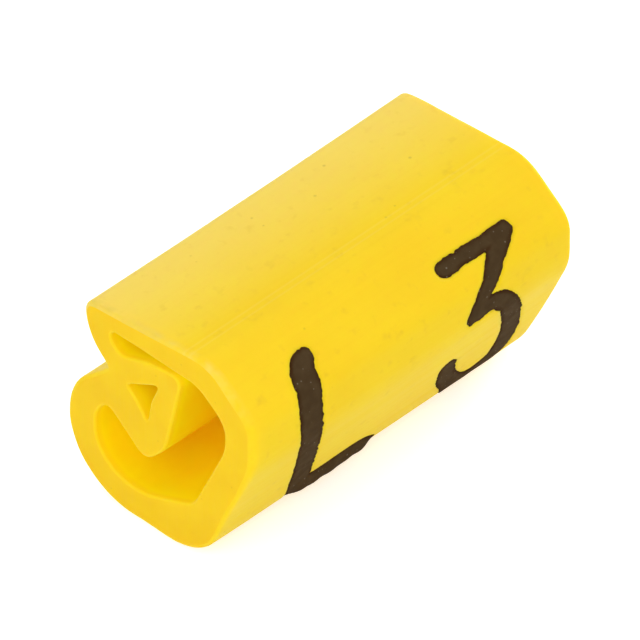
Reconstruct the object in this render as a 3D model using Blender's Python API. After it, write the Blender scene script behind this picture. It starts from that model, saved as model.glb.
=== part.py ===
"""Slide-on cable marker: a short cut length of folded soft PVC profile.

The sleeve is one extruded piece. Its wall runs round the wire bore, and on the side away from the
legend it folds inwards into a springy tongue with a small closed cell, which presses on the wire.

Frame, in metres: X runs along the sleeve from the end that is read first, Z is up, and the sleeve
lies on its base flat at Z = 0. The legend flank faces -Y and the notch of the fold faces +Y.
The section is drawn as seen from the first end: "across" grows towards the legend flank.
"""
import math
from types import SimpleNamespace

import bmesh
import bpy
from mathutils import Vector

MM = 0.001

# Sleeve
LENGTH = 9.0 * MM
OUTER_EDGE_RADIUS = 0.12 * MM
INNER_EDGE_RADIUS = 0.06 * MM

# Walls
WALL = 0.77 * MM
SHOULDER_WALL = 0.83 * MM
LIP_ROOF_WALL = 0.46 * MM
LIP_SIDE_WALL = 0.63 * MM

# Bore and tongue, which with the walls add up to the width and the height
TONGUE_REACH = 2.47 * MM
BORE_GAP = 1.19 * MM
TIP_CLEARANCE = 0.90 * MM
TONGUE_DEPTH = 2.82 * MM
SLIT = 0.08 * MM

# Outer outline: where its corners lie before they are rounded
LIP_SET_BACK = 0.46 * MM
LIP_DROP = 0.40 * MM
CROWN_SET_BACK = 1.23 * MM
SHOULDER_DROP = 0.95 * MM
FLANK_DROP = 2.06 * MM
HEEL_SET_BACK = 1.51 * MM
NOTCH_DEPTH = 1.20 * MM
NOTCH_DROP = 1.82 * MM
LOBE_DROP = 1.04 * MM
ARM_BEND_RISE = 0.60 * MM
ARM_BEND_SET_IN = 0.07 * MM

# Bore outline
RAMP_START = 1.41 * MM
RAMP_RISE = 0.57 * MM
POCKET_SET_IN = 0.35 * MM
POCKET_DROP = 0.99 * MM
POCKET_SIDE_DROP = 0.35 * MM
TIP_SET_IN = 1.40 * MM
BELLY_SET_BACK = 0.50 * MM
BELLY_RISE = 0.60 * MM
SLIT_BEND_SET_BACK = 0.93 * MM
SLIT_BEND_DROP = 0.14 * MM
SLIT_MOUTH_SET_IN = 0.33 * MM
SLIT_MOUTH = 0.56 * MM

# Closed cell in the tongue
CELL_NOTCH_WALL = 0.46 * MM
CELL_NOTCH_DROP = 0.13 * MM
CELL_HEEL_SET_BACK = 0.66 * MM
CELL_HEEL_DROP = 0.59 * MM
CELL_TIP_SHIFT = 0.08 * MM
CELL_TIP_RISE = 1.03 * MM
CELL_SIDE_SAG = 0.085 * MM

# Roundings of the outer outline
LIP_RADIUS = 0.24 * MM
CROWN_RADIUS = 1.10 * MM
SHOULDER_RADIUS = 0.58 * MM
FLANK_RADIUS = 1.70 * MM
HEEL_RADIUS = 1.40 * MM
LOBE_RADIUS = 1.75 * MM
LOBE_TOP_RADIUS = 1.55 * MM
NOTCH_RADIUS = 0.03 * MM
ARM_RADIUS = 1.30 * MM

# Roundings of the bore and the cell
BORE_CROWN_RADIUS = 0.75 * MM
BORE_SHOULDER_RADIUS = 0.56 * MM
BORE_FLANK_RADIUS = 1.25 * MM
BORE_HEEL_RADIUS = 0.50 * MM
RAMP_RADIUS = 1.20 * MM
POCKET_SIDE_RADIUS = 0.70 * MM
POCKET_RADIUS = 0.19 * MM
TIP_RADIUS = 0.29 * MM
BELLY_RADIUS = 0.90 * MM
TONGUE_HEEL_RADIUS = 0.20 * MM
SLIT_BEND_RADIUS = 0.80 * MM
SLIT_MOUTH_RADIUS = 0.32 * MM
SLIT_END_RADIUS = 0.16 * MM
CELL_RADIUS = 0.04 * MM
CELL_SIDE_RADIUS = 1.50 * MM

# Facets
CHORD_ERROR = 0.001 * MM
ROUNDED_SHARE = 0.98
CUT_EDGE_STEPS = 3
SMOOTH_ANGLE = math.radians(35)

# Soft PVC, saturated yellow, satin
PVC_YELLOW = (0.93, 0.60, 0.012, 1.0)
PVC_ROUGHNESS = 0.42


def key_places():
    """The heights and distances across that the outline, the bore and the tongue share."""
    place = SimpleNamespace()
    place.right = (WALL + TONGUE_REACH + BORE_GAP + SHOULDER_WALL) / 2
    place.left = -place.right
    place.bore_right = place.right - SHOULDER_WALL
    place.bore_left = place.left + WALL
    place.tongue_heel = place.bore_left + TONGUE_REACH
    place.tongue_tip = place.bore_left + TIP_SET_IN
    place.lip = place.left + LIP_SET_BACK
    place.notch = place.left + NOTCH_DEPTH
    place.floor = WALL
    place.tip_height = place.floor + TIP_CLEARANCE
    place.heel_height = place.tip_height + TONGUE_DEPTH
    place.roof = place.heel_height + SLIT
    place.crown_height = place.roof + WALL
    place.lip_height = place.crown_height - LIP_DROP
    place.notch_height = place.crown_height - NOTCH_DROP
    return place


def outer_corners(place):
    """Corners of the outer outline with their radii, clockwise from the lip over the crown."""
    return [
        (place.lip, place.lip_height, LIP_RADIUS),
        (place.right - CROWN_SET_BACK, place.crown_height, CROWN_RADIUS),
        (place.right, place.crown_height - SHOULDER_DROP, SHOULDER_RADIUS),
        (place.right, place.crown_height - FLANK_DROP, FLANK_RADIUS),
        (place.right - HEEL_SET_BACK, 0.0, HEEL_RADIUS),
        (place.left, 0.0, LOBE_RADIUS),
        (place.left, place.notch_height - LOBE_DROP, LOBE_TOP_RADIUS),
        (place.notch, place.notch_height, NOTCH_RADIUS),
        (place.lip + ARM_BEND_SET_IN, place.notch_height + ARM_BEND_RISE, ARM_RADIUS),
    ]


def moved_in(start, end, wall):
    """A point and the direction of the side from start to end, moved in by the wall."""
    run = Vector((end[0] - start[0], end[1] - start[1])).normalized()
    return Vector(start[:2]) + Vector((run.y, -run.x)) * wall, run


def at_height(side, height):
    """Where a side, given as a point and a direction, reaches a height."""
    point, run = side
    return point.x + run.x * (height - point.y) / run.y, height


def at_across(side, across):
    """Where a side, given as a point and a direction, reaches a distance across."""
    point, run = side
    return across, point.y + run.y * (across - point.x) / run.x


def bore_corners(place):
    """Corners of the bore, clockwise from the closed end of the slit, along the wall and the tongue."""
    lip, crown, shoulder, flank, heel = outer_corners(place)[:5]
    top_side = moved_in(lip, crown, 0.0)
    shoulder_side = moved_in(crown, shoulder, SHOULDER_WALL)
    flank_side = moved_in(flank, heel, WALL)
    slit_end = place.lip + LIP_SIDE_WALL
    pocket_height = place.notch_height - POCKET_DROP
    return [
        (slit_end, at_across(top_side, slit_end)[1] - LIP_ROOF_WALL, SLIT_END_RADIUS),
        (*at_height(shoulder_side, place.roof), BORE_CROWN_RADIUS),
        (*at_across(shoulder_side, place.bore_right), BORE_SHOULDER_RADIUS),
        (*at_across(flank_side, place.bore_right), BORE_FLANK_RADIUS),
        (*at_height(flank_side, place.floor + RAMP_RISE), BORE_HEEL_RADIUS),
        (place.bore_left + RAMP_START, place.floor, RAMP_RADIUS),
        (place.bore_left, place.floor, LOBE_RADIUS - WALL),
        (place.bore_left, pocket_height - POCKET_SIDE_DROP, POCKET_SIDE_RADIUS),
        (place.bore_left + POCKET_SET_IN, pocket_height, POCKET_RADIUS),
        (place.tongue_tip, place.tip_height, TIP_RADIUS),
        (place.tongue_heel - BELLY_SET_BACK, place.tip_height + BELLY_RISE, BELLY_RADIUS),
        (place.tongue_heel, place.heel_height, TONGUE_HEEL_RADIUS),
        (place.tongue_heel - SLIT_BEND_SET_BACK, place.heel_height - SLIT_BEND_DROP, SLIT_BEND_RADIUS),
        (slit_end + SLIT_MOUTH_SET_IN, place.roof - SLIT_MOUTH, SLIT_MOUTH_RADIUS),
    ]


def sagging(start, end):
    """The corner that bows the side of the cell from start to end inwards."""
    point, _ = moved_in(start, end, CELL_SIDE_SAG)
    middle = point + Vector((end[0] - start[0], end[1] - start[1])) / 2
    return middle.x, middle.y, CELL_SIDE_RADIUS


def cell_corners(place):
    """Corners of the closed cell in the tongue, clockwise from the notch."""
    notch = (place.notch + CELL_NOTCH_WALL, place.notch_height - CELL_NOTCH_DROP, CELL_RADIUS)
    heel = (place.tongue_heel - CELL_HEEL_SET_BACK, place.heel_height - CELL_HEEL_DROP, CELL_RADIUS)
    tip = (place.tongue_tip + CELL_TIP_SHIFT, place.tip_height + CELL_TIP_RISE, CELL_RADIUS)
    return [notch, heel, sagging(heel, tip), tip, sagging(tip, notch)]


def outward(start, end):
    """The unit normal of a side, pointing out of a clockwise outline."""
    run = (end - start).normalized()
    return Vector((-run.y, run.x))


def roundings(corners):
    """Each corner's point, its side normals, its turn and its radius, shortened where two would meet."""
    points = [Vector(corner[:2]) for corner in corners]
    sides = [outward(points[index - 1], points[index]) for index in range(len(points))]
    turns = [side.angle_signed(following) for side, following in zip(sides, sides[1:] + sides[:1])]
    reaches = [corner[2] * math.tan(abs(turn) / 2) for corner, turn in zip(corners, turns)]
    shares = [1.0] * len(points)
    for index, point in enumerate(points):
        side = (point - points[index - 1]).length * ROUNDED_SHARE
        share = side / (reaches[index - 1] + reaches[index])
        shares[index - 1] = min(shares[index - 1], share)
        shares[index] = min(shares[index], share)
    return [
        (point, side, turn, corner[2] * share, reach * share)
        for point, side, turn, corner, reach, share in zip(points, sides, turns, corners, reaches, shares)
    ]


def rounded(corners):
    """A clockwise outline as points with outward normals, each corner being an arc."""
    outline = []
    for corner, before, turn, radius, reach in roundings(corners):
        centre = corner - Vector((before.y, -before.x)) * reach - before * math.copysign(radius, turn)
        widest = 2 * math.acos(1 - min(CHORD_ERROR / radius, 1))
        steps = max(2, math.ceil(abs(turn) / widest))
        for step in range(steps + 1):
            angle = turn * step / steps
            normal = Vector((before.x * math.cos(angle) + before.y * math.sin(angle),
                             before.y * math.cos(angle) - before.x * math.sin(angle)))
            outline.append((centre + normal * math.copysign(radius, turn), normal))
    return outline


def sleeve_point(along, across, height):
    """A point of the section, placed along the sleeve."""
    return along, -across, height


def stations(edge_radius):
    """Places along the sleeve, with how far its rounded cut edges eat into the wall there."""
    half = LENGTH / 2
    angles = [math.pi / 2 * step / CUT_EDGE_STEPS for step in range(CUT_EDGE_STEPS + 1)]
    edge = [(edge_radius * (1 - math.cos(angle)), edge_radius * (1 - math.sin(angle)))
            for angle in angles]
    return ([(-half + depth, eaten) for depth, eaten in edge]
            + [(half - depth, eaten) for depth, eaten in reversed(edge)])


def extrude_outline(bm, outline, edge_radius, into_wall):
    """The walls that an outline sweeps along the sleeve; returns its first and last edge loops."""
    rings = []
    for along, eaten in stations(edge_radius):
        moved = [point + normal * eaten * into_wall for point, normal in outline]
        rings.append([bm.verts.new(sleeve_point(along, spot.x, spot.y)) for spot in moved])
    for ring, following in zip(rings, rings[1:]):
        for index in range(len(ring)):
            bm.faces.new((ring[index - 1], ring[index], following[index], following[index - 1]))
    return [[bm.edges.get((ring[index - 1], ring[index])) for index in range(len(ring))]
            for ring in (rings[0], rings[-1])]


def build_sleeve_mesh():
    """The extruded section, closed by two flat cut ends."""
    place = key_places()
    bm = bmesh.new()
    loops = [
        extrude_outline(bm, rounded(outer_corners(place)), OUTER_EDGE_RADIUS, -1),
        extrude_outline(bm, rounded(bore_corners(place)), INNER_EDGE_RADIUS, 1),
        extrude_outline(bm, rounded(cell_corners(place)), INNER_EDGE_RADIUS, 1),
    ]
    for end in zip(*loops):
        bmesh.ops.triangle_fill(bm, edges=sum(end, []), use_beauty=True)
    bmesh.ops.recalc_face_normals(bm, faces=bm.faces)
    mesh = bpy.data.meshes.new("marker_sleeve")
    bm.to_mesh(mesh)
    bm.free()
    mesh.shade_smooth()
    mesh.set_sharp_from_angle(angle=SMOOTH_ANGLE)
    return mesh


def pvc_material():
    """Soft yellow PVC with a satin surface."""
    material = bpy.data.materials.new("soft_pvc_yellow")
    material.use_nodes = True
    shader = material.node_tree.nodes["Principled BSDF"]
    shader.inputs["Base Color"].default_value = PVC_YELLOW
    shader.inputs["Roughness"].default_value = PVC_ROUGHNESS
    shader.inputs["Metallic"].default_value = 0.0
    return material


def main():
    for leftover in list(bpy.data.objects):
        bpy.data.objects.remove(leftover, do_unlink=True)
    mesh = build_sleeve_mesh()
    mesh.materials.append(pvc_material())
    sleeve = bpy.data.objects.new("marker_sleeve", mesh)
    bpy.context.scene.collection.objects.link(sleeve)


main()
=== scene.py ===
import math

import bmesh
import bpy
import numpy as np
from mathutils import Matrix, Vector, noise
from mathutils.geometry import delaunay_2d_cdt


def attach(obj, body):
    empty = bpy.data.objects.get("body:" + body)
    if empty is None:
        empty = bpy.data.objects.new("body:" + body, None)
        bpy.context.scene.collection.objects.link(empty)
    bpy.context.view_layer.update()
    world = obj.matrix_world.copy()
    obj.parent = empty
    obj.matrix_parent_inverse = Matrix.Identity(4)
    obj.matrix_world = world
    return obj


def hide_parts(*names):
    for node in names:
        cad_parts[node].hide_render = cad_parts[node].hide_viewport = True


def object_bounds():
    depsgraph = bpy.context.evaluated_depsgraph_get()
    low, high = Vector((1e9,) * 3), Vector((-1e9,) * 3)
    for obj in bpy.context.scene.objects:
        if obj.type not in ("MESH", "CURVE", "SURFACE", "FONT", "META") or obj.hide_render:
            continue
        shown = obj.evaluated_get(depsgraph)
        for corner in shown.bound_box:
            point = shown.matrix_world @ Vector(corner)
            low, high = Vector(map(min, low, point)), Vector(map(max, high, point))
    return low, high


# The looks of a slide-on cable marker: a short cut of folded soft PVC profile, stamped with a legend.
#
# Places on the outside of the sleeve are given as (along, round): along is the distance from the
# front end, and round is the distance round the outline from its crown line, which grows down the
# legend flank. Offsets are measured outwards from the surface.

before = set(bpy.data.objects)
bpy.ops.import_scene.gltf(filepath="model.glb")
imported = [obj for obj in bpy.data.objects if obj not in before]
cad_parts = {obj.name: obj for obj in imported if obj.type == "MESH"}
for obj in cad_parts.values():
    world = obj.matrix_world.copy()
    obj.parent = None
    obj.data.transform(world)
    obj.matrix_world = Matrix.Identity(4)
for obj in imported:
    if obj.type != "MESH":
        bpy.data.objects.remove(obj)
cad_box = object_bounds()

MM = 0.001
CAD_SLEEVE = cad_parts["marker_sleeve"]
LENGTH = cad_box[1].x - cad_box[0].x
HALF_LENGTH = LENGTH / 2
WIDTH = cad_box[1].y - cad_box[0].y

# Outlines of the section, taken from the CAD sleeve
JOIN_REACH = 0.0001 * MM
OUTLINE_STEP = 0.01 * MM
OUTSIDE_SOFTENING = 0.10 * MM
HOLLOW_SOFTENING = 0.05 * MM
SOFTENING_REACH = 3.0

# Facets of the sleeve
LEGEND_SPACING = 0.046 * MM
WALL_SPACING = 0.09 * MM
BORE_SPACING = 0.13 * MM
LEGEND_ZONE = (-0.45 * MM, 6.5 * MM)
TURN_SPACING = math.radians(6.0)
ROW_SPACING = 0.056 * MM
BORE_ROW_SPACING = 0.25 * MM
EDGE_STEPS = 5
CUT_FACE_SPACING = 0.075 * MM
CUT_FACE_MARGIN = 0.035 * MM

# Cut ends
CUT_EDGE_RADIUS = 0.085 * MM
CUT_EDGE_VARIATION = 0.02 * MM
CUT_EDGE_WAVE = 0.7 * MM
# Where each end's edge is rounder: the middle of the place round the outline, its reach, and how much
ROUNDER_FRONT = [(2.0 * MM, 2.4 * MM, 0.09 * MM)]
ROUNDER_BACK = [(5.9 * MM, 1.4 * MM, 0.13 * MM), (-3.3 * MM, 1.0 * MM, 0.05 * MM)]
BORE_EDGE_RADIUS = 0.055 * MM
CUT_FACE_RELIEF = 0.020 * MM
CUT_FACE_WAVE = 0.9 * MM
CUT_FACE_FINE_SHARE = 0.3

# The soft sleeve is bowed a little towards the legend flank
BOW = 0.030 * MM
BOW_EASED = 0.5 * MM
# Where the skin stands out a little: the middle of the place round the outline, its reach to both sides,
# by how much, and the distance from the front end over which that fades
FULLER = [
    (5.9 * MM, 1.0 * MM, 0.030 * MM, 4.5 * MM),
    (-3.2 * MM, 0.8 * MM, 0.006 * MM, 60.0 * MM),
    (-4.35 * MM, 1.1 * MM, 0.040 * MM, 60.0 * MM),
]

# Skin of the extrusion
DIE_LINE_DEPTH = 0.0008 * MM
DIE_LINE_WIDTH = 0.22 * MM
# One scratch in the die left a fine ridge beside the crown
DIE_RIDGE_ROUND = -0.24 * MM
DIE_RIDGE_WIDTH = 0.07 * MM
DIE_RIDGE_HEIGHT = 0.004 * MM
HANDLING_DEPTH = 0.006 * MM
HANDLING_SIZE = 1.3 * MM
NICK_COUNT = 26
NICK_DEPTH = 0.010 * MM
NICK_SIZE = 0.045 * MM
# How much shallower or deeper, and smaller or larger, single nicks are; how far they keep from the cut
# ends; how far from the crown line they start on the fold's side, and how far before it they stop again
NICK_DEPTHS = (0.5, 1.4)
NICK_SIZES = (0.7, 1.6)
NICK_MARGIN = 0.2 * MM
NICK_REACH = 3.2 * MM
NICK_FREE = 5.0 * MM

# Stamped legend: centre lines of the strokes as (along, round, half the width), in millimetres
LEGEND_STROKES = {
    "legend_l": [
        [(1.98, 1.16, 0.215), (1.76, 1.37, 0.305), (1.66, 1.92, 0.335), (1.68, 2.63, 0.32),
         (1.80, 3.28, 0.31), (2.00, 4.05, 0.31), (2.18, 4.78, 0.31), (2.31, 5.40, 0.32),
         (2.40, 5.78, 0.31)],
        [(2.42, 5.76, 0.34), (3.10, 5.76, 0.34), (3.70, 5.74, 0.35), (4.05, 5.77, 0.33),
         (4.40, 5.85, 0.20)],
    ],
    "legend_3": [
        [(5.83, 1.25, 0.21), (6.30, 1.22, 0.185), (6.90, 1.24, 0.18), (7.43, 1.24, 0.20),
         (7.54, 1.25, 0.205)],
        [(7.49, 1.27, 0.22), (7.07, 1.57, 0.235), (6.78, 1.95, 0.25), (6.53, 2.32, 0.25),
         (6.33, 2.63, 0.23), (6.26, 2.74, 0.21)],
        [(6.42, 2.69, 0.245), (6.70, 2.63, 0.25), (7.01, 2.72, 0.25), (7.26, 3.00, 0.25),
         (7.49, 3.42, 0.27), (7.71, 3.96, 0.28), (7.88, 4.50, 0.295), (7.97, 5.05, 0.33),
         (7.88, 5.58, 0.35), (7.42, 5.87, 0.37), (6.95, 5.87, 0.37), (6.60, 5.52, 0.285),
         (6.30, 5.05, 0.27), (6.13, 4.54, 0.25), (6.08, 4.37, 0.20)],
    ],
}
STROKE_STEPS = 8
INK_SPACING = 0.032 * MM
INK_SNAP = 0.55
INK_SNAP_STEEPNESS = 0.5
PRESSED_DEPTH = 0.030 * MM
PRESSED_RIM = 0.06 * MM
INK_TOP = -0.008 * MM
INK_EDGE_DROP = 0.016 * MM
INK_EDGE_WIDTH = 0.07 * MM
INK_ROOT = -0.055 * MM
# How far in from a stroke's edge the ink reaches its full greyness, a painted sheen, and what the mesh calls
# that greyness
INK_RIM = 0.13 * MM
INK_PAINTED_SHEEN = "ink_painted_sheen"
RAGGED_DEPTH = 0.045 * MM
RAGGED_SIZE = 0.16 * MM
RAGGED_FINE_SHARE = 0.8
# Where the die rolled over the heel the ink gathered into beads: how high, from where to where along it
BEADS = [(0.105 * MM, (2.10 * MM, 4.62 * MM)), (0.018 * MM, (6.0 * MM, 8.4 * MM))]
BEAD_ROUND = 5.86 * MM
BEAD_HALF_WIDTH = 0.36 * MM
BEAD_TAPER = 0.55 * MM
BEAD_UNEVENNESS = 0.45
BEAD_WAVE = 0.35 * MM

# Seeds of the uneven things: nicks, die lines, handling waves, ink edges, beads, cut edges and cut faces
NICK_SEED = 7
DIE_LINE_SEED = 41
HANDLING_SEED = 42
RAGGED_SEEDS = (3, 4)
BEAD_SEED = 61
CUT_EDGE_SEED = 51
FRONT_SEED = 21
BACK_SEED = 31
SEED_SHIFT = Vector((17.3, 5.9, 11.1))

# Photographed view
VIEW_AZIMUTH = math.radians(-44.69)
VIEW_ELEVATION = math.radians(41.41)
VIEW_ROLL = math.radians(-0.41)
VIEW_WIDTH = 12.764 * MM
VIEW_RAISED = 0.18 * MM
VIEW_DISTANCE = 60.0 * MM

# Studio: how far the table reaches, how brightly it glows to the camera, how strong the light tent is,
# and each softbox by name, direction, size, and the share of plain white that it adds
TABLE_REACH = 0.5
TABLE_GLOW = 0.50
TENT_STRENGTH = 0.61
SOFTBOX_DISTANCE = 90.0 * MM
SOFTBOXES = [
    ("back_softbox", (0.35, 0.30, 0.90), 80.0 * MM, 0.11),
    ("front_softbox", (-0.72, -0.30, 0.62), 50.0 * MM, 0.37),
    ("side_softbox", (0.30, -0.87, 0.42), 80.0 * MM, 0.15),
    ("end_softbox", (0.95, 0.05, 0.28), 30.0 * MM, 0.48),
]

# Finishes, in millimetres: how deep light soaks into the PVC outside and in the bore, and where the
# crown's two die lines, painted as pale highlight lines, lie across it and how far each reaches to both
# sides
SOAKING = 0.15
BORE_SOAKING = 0.6
DIE_LINE_HIGHLIGHTS = (-0.83, -0.67)
DIE_LINE_HIGHLIGHT_REACH = 0.045
# The heights between which the walls turn into the roof, and across what part of it the painted sheen grows
ROOF_HEIGHTS = (4.3, 4.9)
PAINTED_SHEEN_ACROSS = (-0.6, 2.2)
# How far from the front end the knife's line and its painted highlight start and are full, and across what
# part they turn from the pale painted highlight to dull
KNIFE_LINE_AND_HIGHLIGHT = (0.22, 0.08)
KNIFE_LINE_AND_HIGHLIGHT_ACROSS = (-1.2, 1.6)
KNIFE_LINE_AND_HIGHLIGHT_PATCH_SIZE = 0.4
# How far from a cut end the colour of its face starts to fade into the bore's paler colour, which is painted
# light, and has done so
BORE_RIM = (0.04, 0.20)
SMUDGE_SIZE = 0.30
INK_GRAIN_SIZE = 0.12
# How much of a speck is its soft edge
SPECK_EDGE = 0.8
# The sleeve's finishes by their place in its list of materials
SKIN, CUT, INNER = range(3)


def srgb(code):
    """A hex colour as linear red, green, blue and alpha."""
    parts = [int(code[place:place + 2], 16) / 255 for place in (1, 3, 5)]
    return (*[part / 12.92 if part <= 0.04045 else ((part + 0.055) / 1.055) ** 2.4 for part in parts], 1.0)


def add(tree, kind, inputs=None, **settings):
    """Adds a node with its settings; an input is a value, or the node or socket that it is linked from."""
    made = tree.nodes.new(kind)
    for name, value in settings.items():
        setattr(made, name, value)
    for name, value in (inputs or {}).items():
        if isinstance(name, int):
            socket = made.inputs[name]
        else:
            socket = next(each for each in made.inputs if each.name == name and each.enabled)
        if isinstance(value, bpy.types.Node):
            value = next(each for each in value.outputs if each.enabled)
        if isinstance(value, bpy.types.NodeSocket):
            tree.links.new(value, socket)
        else:
            socket.default_value = value
    return made


def smooth_step(values):
    """Runs from 0 to 1 with level ends as the values run from 0 to 1."""
    held = np.clip(values, 0.0, 1.0)
    return held * held * (3 - 2 * held)


def swelling(values):
    """A smooth bump: 1 at 0, and 0 from -1 down and from 1 up."""
    return smooth_step(1 - np.abs(values))


def wavering(points, size, seed):
    """Smooth noise from -1 to 1 at points, with features of a size."""
    return np.array([noise.noise(Vector(point) / size + SEED_SHIFT * seed) for point in points])


class Outline:
    """One closed outline of the section, as (y, z) against the distance round it."""

    def __init__(self, loop, softening):
        """Takes a closed list of points, spaces it evenly and softens its corners."""
        closed = np.vstack([loop, loop[:1]])
        run = np.concatenate([[0.0], np.cumsum(np.linalg.norm(np.diff(closed, axis=0), axis=1))])
        count = round(run[-1] / OUTLINE_STEP)
        even = np.linspace(0.0, run[-1], count, endpoint=False)
        points = np.column_stack([np.interp(even, run, closed[:, axis]) for axis in (0, 1)])
        reach = math.ceil(SOFTENING_REACH * softening / OUTLINE_STEP)
        shifts = np.arange(-reach, reach + 1)
        weights = np.exp(-0.5 * (shifts * OUTLINE_STEP / softening) ** 2)
        weights /= weights.sum()
        points = sum(np.roll(points, shift, axis=0) * weight for shift, weight in zip(shifts, weights))
        crown = int(np.argmax(points[:, 1]))
        points = np.roll(points, -crown, axis=0)
        # It has to run down the legend flank, which an eighth of the way round shows
        if points[count // 8, 0] > points[0, 0]:
            points = np.roll(points[::-1], 1, axis=0)
        self.points = points
        steps = np.linalg.norm(np.roll(points, -1, axis=0) - points, axis=1)
        self.length = float(steps.sum())
        self.round = np.concatenate([[0.0], np.cumsum(steps)[:-1]])
        tangents = np.roll(points, -1, axis=0) - np.roll(points, 1, axis=0)
        tangents /= np.linalg.norm(tangents, axis=1)[:, None]
        self.normals = np.column_stack([-tangents[:, 1], tangents[:, 0]])
        if self.area() > 0:
            self.normals = -self.normals
        angles = np.unwrap(np.arctan2(tangents[:, 1], tangents[:, 0]))
        self.turn = np.abs(np.diff(np.append(angles, angles[-1])))

    def area(self):
        """The signed area that the outline encloses."""
        ahead = np.roll(self.points, -1, axis=0)
        return 0.5 * float(np.sum(self.points[:, 0] * ahead[:, 1] - ahead[:, 0] * self.points[:, 1]))

    def unrolled(self, distances):
        """Distances round the outline, counted backwards on the side that faces the fold."""
        return (distances + self.length / 4) % self.length - self.length / 4

    def at(self, distances):
        """Points and outward normals at distances round the outline."""
        spots, normals = [
            np.column_stack([np.interp(distances, self.round, values[:, axis], period=self.length)
                             for axis in (0, 1)])
            for values in (self.points, self.normals)]
        return spots, normals / np.linalg.norm(normals, axis=1)[:, None]

    def columns(self, spacing):
        """Distances round the outline, closer together where it turns; spacing may vary along it."""
        need = OUTLINE_STEP / spacing + self.turn / TURN_SPACING
        total = np.concatenate([[0.0], np.cumsum(need)])
        count = math.ceil(total[-1])
        run = np.append(self.round, self.length)
        return np.interp(np.linspace(0.0, total[-1], count, endpoint=False), total, run)


def section_outlines():
    """The outside, bore and cell outlines of the CAD sleeve, cut half way along it."""
    bm = bmesh.new()
    bm.from_mesh(CAD_SLEEVE.data)
    bmesh.ops.remove_doubles(bm, verts=bm.verts, dist=JOIN_REACH)
    geometry = bm.verts[:] + bm.edges[:] + bm.faces[:]
    cut = bmesh.ops.bisect_plane(bm, geom=geometry, plane_co=(0, 0, 0), plane_no=(1, 0, 0))["geom_cut"]
    edges = [item for item in cut if isinstance(item, bmesh.types.BMEdge)]
    beside = {}
    for edge in edges:
        for vert in edge.verts:
            beside.setdefault(vert, []).append(edge.other_vert(vert))
    loops = []
    while beside:
        start = next(iter(beside))
        loop = [start]
        following = beside[start][0]
        while following is not start:
            before, loop = loop[-1], loop + [following]
            first, second = beside[following]
            following = second if first is before else first
        for vert in loop:
            del beside[vert]
        loops.append(np.array([(vert.co.y, vert.co.z) for vert in loop]))
    bm.free()
    outside, *hollows = sorted(loops, key=lambda loop: -np.prod(np.ptp(loop, axis=0)))
    return [Outline(outside, OUTSIDE_SOFTENING), *[Outline(hollow, HOLLOW_SOFTENING) for hollow in hollows]]


def stroke_samples(nodes):
    """A stroke's centre line as closely spaced points with half widths, in metres, on a smooth curve."""
    ends = [nodes[0], *nodes, nodes[-1]]
    samples = []
    for before, start, end, after in zip(ends, ends[1:], ends[2:], ends[3:]):
        for step in range(STROKE_STEPS):
            share = step / STROKE_STEPS
            samples.append([
                0.5 * (2 * q + (r - p) * share + (2 * p - 5 * q + 4 * r - s) * share ** 2
                       + (3 * q - p - 3 * r + s) * share ** 3)
                for p, q, r, s in zip(before, start, end, after)
            ])
    samples.append(nodes[-1])
    return np.array(samples) * MM


def stroke_distance(spots, strokes):
    """How far spots on the flattened surface lie outside the strokes; inside them it is negative."""
    nearest = np.full(len(spots), LENGTH)
    for stroke in strokes:
        samples = stroke_samples(stroke)
        for start, end in zip(samples, samples[1:]):
            run = end[:2] - start[:2]
            share = np.clip(((spots - start[:2]) @ run) / max(run @ run, JOIN_REACH ** 2), 0.0, 1.0)
            away = np.linalg.norm(spots - start[:2] - share[:, None] * run, axis=1)
            nearest = np.minimum(nearest, away - (start[2] + share * (end[2] - start[2])))
    return nearest


def legend_distance(spots, strokes):
    """The distance outside the strokes with the ragged edge that stamping leaves."""
    distance = stroke_distance(spots, strokes)
    close = np.abs(distance) < 2 * RAGGED_DEPTH
    places = [(spot[0], spot[1], 0.0) for spot in spots[close]]
    coarse, fine = [wavering(places, size, seed)
                    for size, seed in zip((RAGGED_SIZE, RAGGED_SIZE / 2), RAGGED_SEEDS)]
    distance[close] += RAGGED_DEPTH * (coarse + RAGGED_FINE_SHARE * fine)
    return distance


def pressed(spots):
    """How far the stamp pressed the surface in at spots."""
    nearest = np.minimum(*[stroke_distance(spots, strokes) for strokes in LEGEND_STROKES.values()])
    return PRESSED_DEPTH * smooth_step(0.5 - nearest / (2 * PRESSED_RIM))


def nicks(spots, length_round):
    """How far small nicks from handling dent the skin at spots."""
    draw = np.random.default_rng(NICK_SEED)
    depth = np.zeros(len(spots))
    for _ in range(NICK_COUNT):
        place = draw.uniform((NICK_MARGIN, -NICK_REACH), (LENGTH - NICK_MARGIN, length_round - NICK_FREE))
        size = NICK_SIZE * draw.uniform(*NICK_SIZES)
        deep = NICK_DEPTH * draw.uniform(*NICK_DEPTHS)
        away = spots - place
        away[:, 1] = (away[:, 1] + length_round / 2) % length_round - length_round / 2
        depth += deep * np.exp(-np.sum(away ** 2, axis=1) / size ** 2)
    return depth


def cut_face_relief(points, seed):
    """How far the knife left a cut end short of its flat plane, at (y, z) points."""
    places = [(0.0, point[0], point[1]) for point in points]
    coarse, fine = wavering(places, CUT_FACE_WAVE, seed), wavering(places, CUT_FACE_WAVE / 3, seed + 1)
    wave = (1 - CUT_FACE_FINE_SHARE) * coarse + CUT_FACE_FINE_SHARE * fine
    return CUT_FACE_RELIEF * np.clip(0.5 + 0.5 * wave, 0.0, 1.0)


def bowed(x, y, z):
    """A point of the straight sleeve, moved to where the bowed sleeve has it, still within its width."""
    eased = min(max((y + WIDTH / 2) / BOW_EASED, 0.0), 1.0)
    eased *= eased * (3 - 2 * eased)
    return x, y - BOW * (1 - (x / HALF_LENGTH) ** 2) * eased, z


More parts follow.
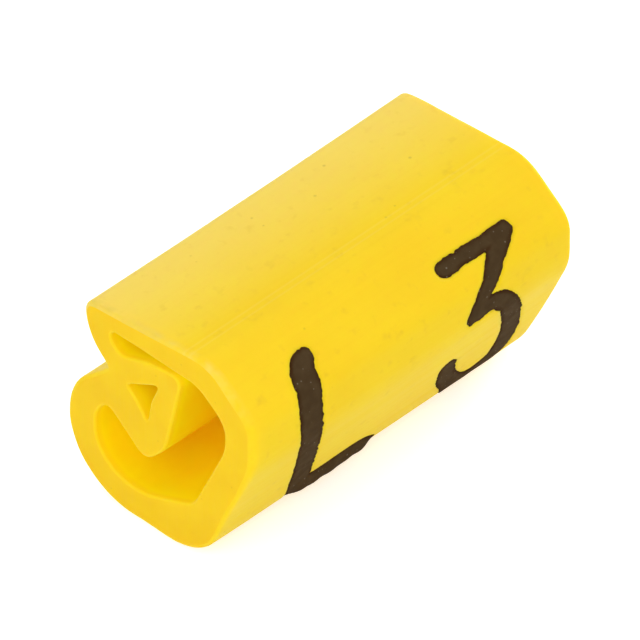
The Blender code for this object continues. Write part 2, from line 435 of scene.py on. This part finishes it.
def rows(spacing):
    """Places of the rings along the sleeve: how far each is round a cut edge, or how far along the wall."""
    edge = [step / EDGE_STEPS for step in range(EDGE_STEPS)]
    count = math.ceil(LENGTH / spacing)
    middle = [step / count for step in range(count + 1)]
    return ([("front", share) for share in edge] + [("wall", share) for share in middle]
            + [("back", share) for share in reversed(edge)])


def lofted(bm, outline, distances, row_spacing, edge_radii, offset, material):
    """Skins an outline along the sleeve with rounded cut edges; returns the two end rings."""
    spots, normals = outline.at(distances)
    front, back = [cut_face_relief(spots, seed) for seed in (FRONT_SEED, BACK_SEED)]
    rings = []
    for zone, share in rows(row_spacing):
        angle = math.pi / 2 * share
        if zone == "wall":
            eaten = np.zeros(len(distances))
            first = front + edge_radii[0]
            along = first + (LENGTH - back - edge_radii[1] - first) * share
        else:
            radii = edge_radii[0] if zone == "front" else edge_radii[1]
            eaten = radii * (1 - math.sin(angle))
            inset = radii * (1 - math.cos(angle))
            along = front + inset if zone == "front" else LENGTH - back - inset
        out = offset(np.column_stack([along, distances])) - eaten
        places = spots + normals * out[:, None]
        rings.append([bm.verts.new(bowed(x - HALF_LENGTH, y, z)) for x, (y, z) in zip(along, places)])
    for ring, following in zip(rings, rings[1:]):
        for index in range(len(ring)):
            face = bm.faces.new((ring[index - 1], ring[index], following[index], following[index - 1]))
            face.material_index = material
    return rings[0], rings[-1]


def within(points, loops):
    """Whether (y, z) points lie inside an odd number of closed loops."""
    inside = np.zeros(len(points), bool)
    for loop in loops:
        for start, end in zip(loop, np.roll(loop, -1, axis=0)):
            spans = (start[1] > points[:, 1]) != (end[1] > points[:, 1])
            with np.errstate(divide="ignore", invalid="ignore"):
                crossing = start[0] + (points[:, 1] - start[1]) * (end[0] - start[0]) / (end[1] - start[1])
            inside ^= spans & (points[:, 0] < crossing)
    return inside


def fill_cut_end(bm, rings, seed, front, material):
    """Closes a cut end between the rings of the outside, bore and cell with a slightly uneven face."""
    loops = [np.array([(vert.co.y, vert.co.z) for vert in ring]) for ring in rings]
    border = np.vstack(loops)
    low, high = border.min(axis=0), border.max(axis=0)
    across = np.arange(low[0], high[0], CUT_FACE_SPACING)
    up = np.arange(low[1], high[1], CUT_FACE_SPACING * math.sqrt(3) / 2)
    grid = np.array([(y + (row % 2) * CUT_FACE_SPACING / 2, z) for row, z in enumerate(up) for y in across])
    gaps = np.min([np.min(np.linalg.norm(grid[:, None] - loop[None], axis=2), axis=1) for loop in loops],
                  axis=0)
    inner = grid[within(grid, loops) & (gaps > CUT_FACE_MARGIN)]
    relief = cut_face_relief(inner, seed)
    verts = [vert for ring in rings for vert in ring]
    for (y, z), short in zip(inner, relief):
        x = short if front else LENGTH - short
        verts.append(bm.verts.new(bowed(x - HALF_LENGTH, y, z)))
    flat = [Vector((vert.co.y, vert.co.z)) for vert in verts]
    edges = []
    start = 0
    for ring in rings:
        edges += [(start + index, start + (index + 1) % len(ring)) for index in range(len(ring))]
        start += len(ring)
    _, _, faces, origins, _, _ = delaunay_2d_cdt(flat, edges, [], 0, JOIN_REACH)
    middles = np.array([np.mean([flat[origins[corner][0]] for corner in face], axis=0) for face in faces])
    for face, kept in zip(faces, within(middles, loops)):
        if kept:
            made = bm.faces.new([verts[origins[corner][0]] for corner in face])
            made.material_index = material


def finished_mesh(bm, name, materials):
    """The shaded mesh of a piece as an object in the scene."""
    bmesh.ops.recalc_face_normals(bm, faces=bm.faces)
    mesh = bpy.data.meshes.new(name)
    bm.to_mesh(mesh)
    bm.free()
    mesh.shade_smooth()
    for material in materials:
        mesh.materials.append(material)
    piece = bpy.data.objects.new(name, mesh)
    bpy.context.scene.collection.objects.link(piece)
    return piece


def fullness(spots, length_round):
    """How far the fuller places stand out at spots on the flattened surface."""
    out = np.zeros(len(spots))
    for middle, reach, more, fading in FULLER:
        away = (spots[:, 1] - middle + length_round / 2) % length_round - length_round / 2
        out += more * swelling(away / reach) * smooth_step(1 - spots[:, 0] / fading)
    return out


def skin_offset(outline):
    """The offset of the outside skin: die lines, handling waves, nicks and the pressed legend."""
    def offset(spots):
        lines = wavering([(0.0, 0.0, spot[1]) for spot in spots], DIE_LINE_WIDTH, DIE_LINE_SEED)
        waves = wavering([(spot[0], spot[1], 0.0) for spot in spots], HANDLING_SIZE, HANDLING_SEED)
        unrolled = np.column_stack([spots[:, 0], outline.unrolled(spots[:, 1])])
        ridge = swelling((unrolled[:, 1] - DIE_RIDGE_ROUND) / DIE_RIDGE_WIDTH)
        raised = fullness(unrolled, outline.length) + DIE_RIDGE_HEIGHT * ridge
        sunk = DIE_LINE_DEPTH * (0.5 + 0.5 * lines) + HANDLING_DEPTH * (0.5 + 0.5 * waves)
        return raised - sunk - pressed(unrolled) - nicks(unrolled, outline.length)
    return offset


def hollow_offset(spots):
    """The offset of the bore and the cell, whose walls lie where the CAD sleeve has them."""
    return np.zeros(len(spots))


def build_sleeve(outlines, skin, cut, inner):
    """The sleeve: skins of the outside, the bore and the cell, and the two cut ends."""
    outside, bore, cell = outlines
    bm = bmesh.new()
    unrolled = outside.unrolled(outside.round)
    fine = (unrolled > LEGEND_ZONE[0]) & (unrolled < LEGEND_ZONE[1])
    distances = outside.columns(np.where(fine, LEGEND_SPACING, WALL_SPACING))
    spots, _ = outside.at(distances)
    unevenness = wavering([(0.0, spot[0], spot[1]) for spot in spots], CUT_EDGE_WAVE, CUT_EDGE_SEED)
    around = outside.unrolled(distances)
    edge_radii = []
    for rounder in (ROUNDER_FRONT, ROUNDER_BACK):
        radii = CUT_EDGE_RADIUS + CUT_EDGE_VARIATION * unevenness
        for middle, reach, more in rounder:
            radii = radii + more * swelling((around - middle) / reach)
        edge_radii.append(radii)
    ends = [lofted(bm, outside, distances, ROW_SPACING, edge_radii, skin_offset(outside), SKIN)]
    for hollow in (bore, cell):
        hollow.normals = -hollow.normals
        distances = hollow.columns(BORE_SPACING)
        radii = [np.full(len(distances), BORE_EDGE_RADIUS)] * 2
        ends.append(lofted(bm, hollow, distances, BORE_ROW_SPACING, radii, hollow_offset, INNER))
    fronts, backs = zip(*ends)
    fill_cut_end(bm, fronts, FRONT_SEED, True, CUT)
    fill_cut_end(bm, backs, BACK_SEED, False, CUT)
    return finished_mesh(bm, "printed_sleeve", [skin, cut, inner])


def ink_offset(spots, distance, length_round):
    """The offset of the top of the ink, rounded towards its edge and gathered into beads on the heel."""
    edge = np.clip(1 + distance / INK_EDGE_WIDTH, 0.0, 1.0)
    top = INK_TOP - INK_EDGE_DROP * (1 - np.sqrt(1 - edge ** 2))
    across = np.clip(1 - ((spots[:, 1] - BEAD_ROUND) / BEAD_HALF_WIDTH) ** 2, 0.0, 1.0)
    uneven = 1 + BEAD_UNEVENNESS * wavering([(spot[0], 0.0, 0.0) for spot in spots], BEAD_WAVE, BEAD_SEED)
    bead = np.zeros(len(spots))
    for height, (start, end) in BEADS:
        bead += height * smooth_step(np.minimum(spots[:, 0] - start, end - spots[:, 0]) / BEAD_TAPER)
    return top + fullness(spots, length_round) + bead * uneven * across


def build_legend(name, strokes, outline, ink):
    """One stamped character as a thin film of ink that follows the surface."""
    nodes = np.array([node for stroke in strokes for node in stroke]) * MM
    margin = nodes[:, 2].max() + 2 * INK_SPACING
    low, high = nodes[:, :2].min(axis=0) - margin, nodes[:, :2].max(axis=0) + margin
    alongs = np.arange(low[0], high[0], INK_SPACING)
    rounds = np.arange(low[1], high[1], INK_SPACING)
    grid = np.array([(along, around) for along in alongs for around in rounds])
    distance = legend_distance(grid, strokes)
    shape = (len(alongs), len(rounds))
    slope = np.stack(np.gradient(distance.reshape(shape), INK_SPACING), axis=2).reshape(-1, 2)
    near = np.abs(distance) < INK_SNAP * INK_SPACING
    steepness = np.maximum(np.sum(slope[near] ** 2, axis=1), INK_SNAP_STEEPNESS)
    grid[near] -= distance[near, None] * slope[near] / steepness[:, None]
    distance[near] = 0.0
    inside = (distance <= 0).reshape(shape)
    tops = ink_offset(grid, distance, outline.length)
    # Painted sheen: how far the ink greys from a stroke's edge into its core
    painted_sheen_share = smooth_step(-distance / INK_RIM)
    bm = bmesh.new()
    painted_sheen_layer = bm.verts.layers.float.new(INK_PAINTED_SHEEN)
    spots, normals = outline.at(grid[:, 1])
    layers = []
    for offsets in (tops, np.full(len(grid), INK_ROOT)):
        places = spots + normals * offsets[:, None]
        layers.append([bowed(along - HALF_LENGTH, y, z) for along, (y, z) in zip(grid[:, 0], places)])
    verts = [{}, {}]

    def corner(layer, index):
        if index not in verts[layer]:
            verts[layer][index] = bm.verts.new(layers[layer][index])
            verts[layer][index][painted_sheen_layer] = painted_sheen_share[index]
        return verts[layer][index]

    cells = []
    for row in range(shape[0] - 1):
        for column in range(shape[1] - 1):
            ring = [(row, column), (row + 1, column), (row + 1, column + 1), (row, column + 1)]
            kept = [place[0] * shape[1] + place[1] for place in ring if inside[place]]
            if len(kept) >= 3:
                cells.append(kept)
    sides = {}
    for kept in cells:
        bm.faces.new([corner(0, index) for index in kept])
        bm.faces.new([corner(1, index) for index in reversed(kept)])
        for start, end in zip(kept, kept[1:] + kept[:1]):
            if (end, start) in sides:
                del sides[(end, start)]
            else:
                sides[(start, end)] = True
    for start, end in sides:
        bm.faces.new((corner(0, start), corner(1, start), corner(1, end), corner(0, end)))
    return finished_mesh(bm, name, [ink])


def object_places(tree):
    """Places on the object in millimetres, which the finishes are laid out by."""
    metres = add(tree, "ShaderNodeTexCoord").outputs["Object"]
    return add(tree, "ShaderNodeVectorMath", {0: metres, "Scale": 1 / MM}, operation="SCALE")


def pigment_clouds(tree, places, size, main, other):
    """Two shades of a pigment that drift into each other in clouds of a size in millimetres."""
    clouds = add(tree, "ShaderNodeTexNoise", {"Vector": places, "Scale": 1 / size})
    share = add(tree, "ShaderNodeMapRange", {"Value": clouds, "From Min": 0.35, "From Max": 0.7})
    return add(tree, "ShaderNodeMix", {"Factor": share, "A": srgb(main), "B": srgb(other)}, data_type="RGBA")


def drawn_lines(tree, places, size, stretch):
    """Fine lines from 0 to 1 that the die or the knife drew, each so many times longer than wide."""
    drawn = add(tree, "ShaderNodeMapping", {"Vector": places, "Scale": [1 / part for part in stretch]})
    return add(tree, "ShaderNodeTexNoise", {"Vector": drawn, "Scale": 1 / size})


def dust_and_glint_specks(tree, places, under, colour, apart, size, share, strength):
    """Specks over a colour: millimetres between places for one, its size, and the share that has one."""
    cells = add(tree, "ShaderNodeTexVoronoi", {"Vector": places, "Scale": 1 / apart})
    chance = add(tree, "ShaderNodeSeparateColor", {"Color": cells.outputs["Color"]})
    reach = add(tree, "ShaderNodeMapRange", {"Value": chance, "From Min": 1 - share, "To Max": size / apart})
    inside = add(tree, "ShaderNodeMath", {0: reach, 1: cells}, operation="SUBTRACT")
    cover = add(tree, "ShaderNodeMapRange", {
        "Value": inside, "From Max": SPECK_EDGE * size / apart, "To Max": strength})
    return add(tree, "ShaderNodeMix", {"Factor": cover, "A": under, "B": srgb(colour)}, data_type="RGBA")


def set_grain(tree, shader, grain, roughness, depth):
    """The fine grain of a surface: its roughness and its relief in millimetres both follow the grain."""
    rough = add(tree, "ShaderNodeMapRange", {
        "Value": grain, "From Min": 0.3, "From Max": 0.7, "To Min": roughness[0], "To Max": roughness[1]})
    relief = add(tree, "ShaderNodeBump", {"Height": grain, "Distance": depth * MM})
    tree.links.new(rough.outputs["Result"], shader.inputs["Roughness"])
    tree.links.new(relief.outputs["Normal"], shader.inputs["Normal"])


def set_soft_pvc(shader, soaking):
    """What every surface of the sleeve shares: dense yellow PVC that a little light soaks into."""
    shader.inputs["IOR"].default_value = 1.53
    shader.inputs["Specular IOR Level"].default_value = 0.08
    shader.inputs["Subsurface Weight"].default_value = 1.0
    shader.inputs["Subsurface Radius"].default_value = (1.0, 0.85, 0.25)
    shader.inputs["Subsurface Scale"].default_value = soaking * MM


def soft_pvc_skin():
    """Plasticised PVC from a polished die: saturated, a little milky, satin, with faint lines along it."""
    material = bpy.data.materials.new("soft_pvc_extruded_yellow")
    material.use_nodes = True
    tree = material.node_tree
    shader = tree.nodes["Principled BSDF"]
    places = object_places(tree)
    spot = add(tree, "ShaderNodeSeparateXYZ", {"Vector": places})
    colour = pigment_clouds(tree, places, size=1.6, main="#F5D21E", other="#F3CD1C")
    lines = drawn_lines(tree, places, size=0.10, stretch=(60.0, 1.0, 1.0))
    share = add(tree, "ShaderNodeMapRange", {
        "Value": lines, "From Min": 0.45, "From Max": 0.85, "To Max": 0.10})
    colour = add(tree, "ShaderNodeMix", {
        "Factor": share, "A": colour, "B": srgb("#E4B30D")}, data_type="RGBA")
    # Two fine pale lines side by side along the crown, where the die left its lines: painted highlights
    for middle in DIE_LINE_HIGHLIGHTS:
        away = add(tree, "ShaderNodeMath", {0: spot.outputs["Y"], 1: middle}, operation="SUBTRACT")
        away = add(tree, "ShaderNodeMath", {0: away}, operation="ABSOLUTE")
        pale = add(tree, "ShaderNodeMapRange", {
            "Value": away, "From Max": DIE_LINE_HIGHLIGHT_REACH, "To Min": 0.10, "To Max": 0.0})
        colour = add(tree, "ShaderNodeMix", {
            "Factor": pale, "A": colour, "B": srgb("#FFE98C")}, data_type="RGBA")
    # Painted sheen: the roof is paler towards the fold
    roof = add(tree, "ShaderNodeMapRange", {
        "Value": spot.outputs["Z"], "From Min": ROOF_HEIGHTS[0], "From Max": ROOF_HEIGHTS[1]})
    across = add(tree, "ShaderNodeMapRange", {
        "Value": spot.outputs["Y"], "From Min": PAINTED_SHEEN_ACROSS[0], "From Max": PAINTED_SHEEN_ACROSS[1],
        "To Max": 0.8})
    roof_painted_sheen = add(tree, "ShaderNodeMath", {0: roof, 1: across}, operation="MULTIPLY")
    colour = add(tree, "ShaderNodeMix", {
        "Factor": roof_painted_sheen, "A": colour, "B": srgb("#F2D76E")}, data_type="RGBA")
    # The knife left a patchy line along the roof's front edge, dull towards the fold; pale on the shoulder,
    # where it is a painted highlight
    front = add(tree, "ShaderNodeMapRange", {
        "Value": spot.outputs["X"], "From Min": KNIFE_LINE_AND_HIGHLIGHT[0] - HALF_LENGTH / MM,
        "From Max": KNIFE_LINE_AND_HIGHLIGHT[1] - HALF_LENGTH / MM})
    # The pale end of this tint is a painted highlight, the olive end the dull knife line
    tint = add(tree, "ShaderNodeMapRange", {
        "Value": spot.outputs["Y"], "From Min": KNIFE_LINE_AND_HIGHLIGHT_ACROSS[0], "From Max": KNIFE_LINE_AND_HIGHLIGHT_ACROSS[1]})
    tint = add(tree, "ShaderNodeMix", {
        "Factor": tint, "A": srgb("#F3E193"), "B": srgb("#B5A63C")}, data_type="RGBA")
    patches = add(tree, "ShaderNodeTexNoise", {"Vector": places, "Scale": 1 / KNIFE_LINE_AND_HIGHLIGHT_PATCH_SIZE})
    patches = add(tree, "ShaderNodeMapRange", {
        "Value": patches, "From Min": 0.3, "From Max": 0.65, "To Max": 0.30})
    line = add(tree, "ShaderNodeMath", {0: front, 1: patches}, operation="MULTIPLY")
    line = add(tree, "ShaderNodeMath", {0: line, 1: roof}, operation="MULTIPLY")
    colour = add(tree, "ShaderNodeMix", {"Factor": line, "A": colour, "B": tint}, data_type="RGBA")
    # Faint brownish smudges from handling
    smudges = add(tree, "ShaderNodeTexNoise", {
        "Vector": places, "Scale": 1 / SMUDGE_SIZE, "Detail": 4.0})
    smudges = add(tree, "ShaderNodeMapRange", {
        "Value": smudges, "From Min": 0.60, "From Max": 0.80, "To Max": 0.25})
    colour = add(tree, "ShaderNodeMix", {
        "Factor": smudges, "A": colour, "B": srgb("#CFA02A")}, data_type="RGBA")
    colour = dust_and_glint_specks(tree, places, colour, "#8F6C1E", apart=0.42, size=0.055, share=0.55, strength=0.45)
    tree.links.new(colour.outputs["Result"], shader.inputs["Base Color"])
    set_grain(tree, shader, lines, roughness=(0.48, 0.56), depth=0.0005)
    set_soft_pvc(shader, SOAKING)
    return material


def soft_pvc_bore():
    """The PVC inside the bore and the cell, drawn paler inwards as painted light, for the light that thin
    walls let in.
    """
    material = bpy.data.materials.new("soft_pvc_bore_yellow")
    material.use_nodes = True
    tree = material.node_tree
    shader = tree.nodes["Principled BSDF"]
    places = object_places(tree)
    spot = add(tree, "ShaderNodeSeparateXYZ", {"Vector": places})
    # Painted light: from the cut ends inwards the bore's colour turns paler
    middle = add(tree, "ShaderNodeMath", {0: spot.outputs["X"]}, operation="ABSOLUTE")
    inwards = add(tree, "ShaderNodeMapRange", {
        "Value": middle, "From Min": HALF_LENGTH / MM - BORE_RIM[0],
        "From Max": HALF_LENGTH / MM - BORE_RIM[1]})
    pale = pigment_clouds(tree, places, size=0.9, main="#FFE80D", other="#FFE20B")
    colour = add(tree, "ShaderNodeMix", {
        "Factor": inwards, "A": srgb("#F5CD1B"), "B": pale}, data_type="RGBA")
    tree.links.new(colour.outputs["Result"], shader.inputs["Base Color"])
    lines = drawn_lines(tree, places, size=0.12, stretch=(60.0, 1.0, 1.0))
    set_grain(tree, shader, lines, roughness=(0.42, 0.50), depth=0.002)
    set_soft_pvc(shader, BORE_SOAKING)
    return material


def soft_pvc_cut():
    """The same PVC where the knife went through: duller, with faint drag marks."""
    material = bpy.data.materials.new("soft_pvc_cut_yellow")
    material.use_nodes = True
    tree = material.node_tree
    shader = tree.nodes["Principled BSDF"]
    places = object_places(tree)
    colour = pigment_clouds(tree, places, size=1.1, main="#F5CD1B", other="#F1C617")
    colour = dust_and_glint_specks(tree, places, colour, "#8A6212", apart=0.4, size=0.05, share=0.5, strength=0.4)
    tree.links.new(colour.outputs["Result"], shader.inputs["Base Color"])
    lines = drawn_lines(tree, places, size=0.07, stretch=(1.0, 1.0, 14.0))
    set_grain(tree, shader, lines, roughness=(0.50, 0.62), depth=0.003)
    set_soft_pvc(shader, SOAKING)
    return material


def stamped_ink():
    """Black marking ink on PVC: matt, brown where it thins towards its edges, greyer in the core as a
    painted sheen, with grey specks painted in as glints.
    """
    material = bpy.data.materials.new("stamped_black_ink")
    material.use_nodes = True
    tree = material.node_tree
    shader = tree.nodes["Principled BSDF"]
    places = object_places(tree)
    # Painted sheen: the ink is greyer in a stroke's core than at its brown edges
    painted_sheen_share = add(tree, "ShaderNodeAttribute", attribute_name=INK_PAINTED_SHEEN).outputs["Fac"]
    inner = pigment_clouds(tree, places, size=0.25, main="#43331F", other="#4B3B26")
    colour = add(tree, "ShaderNodeMix", {
        "Factor": painted_sheen_share, "A": srgb("#39230E"), "B": inner}, data_type="RGBA")
    # Grey specks in the ink: painted glints
    colour = dust_and_glint_specks(tree, places, colour, "#8E8576", apart=0.10, size=0.027, share=0.7, strength=0.6)
    tree.links.new(colour.outputs["Result"], shader.inputs["Base Color"])
    grain = add(tree, "ShaderNodeTexNoise", {"Vector": places, "Scale": 1 / INK_GRAIN_SIZE})
    set_grain(tree, shader, grain, roughness=(0.75, 0.90), depth=0.0002)
    shader.inputs["Specular IOR Level"].default_value = 0.03
    return material


def seen_directly(tree):
    """1 for what the camera, a reflection or a clear body sees, and 0 for light that falls on things."""
    ray = add(tree, "ShaderNodeLightPath").outputs
    seen = add(tree, "ShaderNodeMath", {
        0: ray["Is Camera Ray"], 1: ray["Is Glossy Ray"]}, operation="MAXIMUM")
    return add(tree, "ShaderNodeMath", {0: seen, 1: ray["Is Transmission Ray"]}, operation="MAXIMUM")


def studio_floor():
    """A pale table that shows white to the camera and keeps a soft shadow."""
    material = bpy.data.materials.new("pale_table")
    material.use_nodes = True
    tree = material.node_tree
    tree.nodes.clear()
    paint = add(tree, "ShaderNodeBsdfDiffuse", {"Color": srgb("#F6F6F6")})
    glow = add(tree, "ShaderNodeMath", {0: seen_directly(tree), 1: TABLE_GLOW}, operation="MULTIPLY")
    lit = add(tree, "ShaderNodeEmission", {"Strength": glow})
    both = add(tree, "ShaderNodeAddShader", {0: paint, 1: lit})
    add(tree, "ShaderNodeOutputMaterial", {"Surface": both})
    mesh = bpy.data.meshes.new("table")
    corners = [(-TABLE_REACH, -TABLE_REACH, 0), (TABLE_REACH, -TABLE_REACH, 0),
               (TABLE_REACH, TABLE_REACH, 0), (-TABLE_REACH, TABLE_REACH, 0)]
    mesh.from_pydata(corners, [], [(0, 1, 2, 3)])
    mesh.materials.append(material)
    floor = bpy.data.objects.new("table", mesh)
    bpy.context.scene.collection.objects.link(floor)


def studio_light():
    """A light tent, even and pale all round, with large soft lamps outside it."""
    world = bpy.data.worlds.new("light_tent")
    world.use_nodes = True
    tree = world.node_tree
    background = tree.nodes["Background"]
    background.inputs["Color"].default_value = (1.0, 1.0, 1.0, 1.0)
    strength = add(tree, "ShaderNodeMapRange", {"Value": seen_directly(tree), "To Min": TENT_STRENGTH})
    tree.links.new(strength.outputs["Result"], background.inputs["Strength"])
    bpy.context.scene.world = world
    for name, direction, size, share in SOFTBOXES:
        lamp = bpy.data.lights.new(name, "AREA")
        lamp.size = size
        lamp.energy = share * (math.pi * SOFTBOX_DISTANCE) ** 2
        softbox = bpy.data.objects.new(name, lamp)
        softbox.location = Vector(direction).normalized() * SOFTBOX_DISTANCE
        softbox.rotation_euler = softbox.location.to_track_quat("Z", "Y").to_euler()
        bpy.context.scene.collection.objects.link(softbox)


def photo_camera():
    """A camera without perspective that sees the sleeve as the photo does."""
    low, high = cad_box
    back = Vector((math.sin(VIEW_AZIMUTH) * math.cos(VIEW_ELEVATION),
                   -math.cos(VIEW_AZIMUTH) * math.cos(VIEW_ELEVATION), math.sin(VIEW_ELEVATION)))
    right = Vector((math.cos(VIEW_AZIMUTH), math.sin(VIEW_AZIMUTH), 0.0))
    turned = right * math.cos(VIEW_ROLL) + back.cross(right) * math.sin(VIEW_ROLL)
    up = back.cross(turned)
    lens = bpy.data.cameras.new("photo_camera")
    lens.type = "ORTHO"
    lens.ortho_scale = VIEW_WIDTH
    lens.clip_start = 1.0 * MM
    lens.clip_end = 1.0
    camera = bpy.data.objects.new("photo_camera", lens)
    camera.location = (low + high) / 2 + up * VIEW_RAISED + back * VIEW_DISTANCE
    camera.rotation_mode = "QUATERNION"
    camera.rotation_quaternion = Matrix((turned, up, back)).transposed().to_quaternion()
    bpy.context.scene.collection.objects.link(camera)
    bpy.context.scene.camera = camera


bpy.context.scene.view_settings.view_transform = "Standard"
# Light in the bore passes from wall to bright wall many times
bpy.context.scene.cycles.diffuse_bounces = 12
photo_camera()
studio_floor()
studio_light()

section = section_outlines()
sleeve = build_sleeve(section, soft_pvc_skin(), soft_pvc_cut(), soft_pvc_bore())
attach(sleeve, "root")
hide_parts("marker_sleeve")

ink = stamped_ink()
for legend_name, legend_strokes in LEGEND_STROKES.items():
    legend = build_legend(legend_name, legend_strokes, section[0], ink)
    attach(legend, "root")
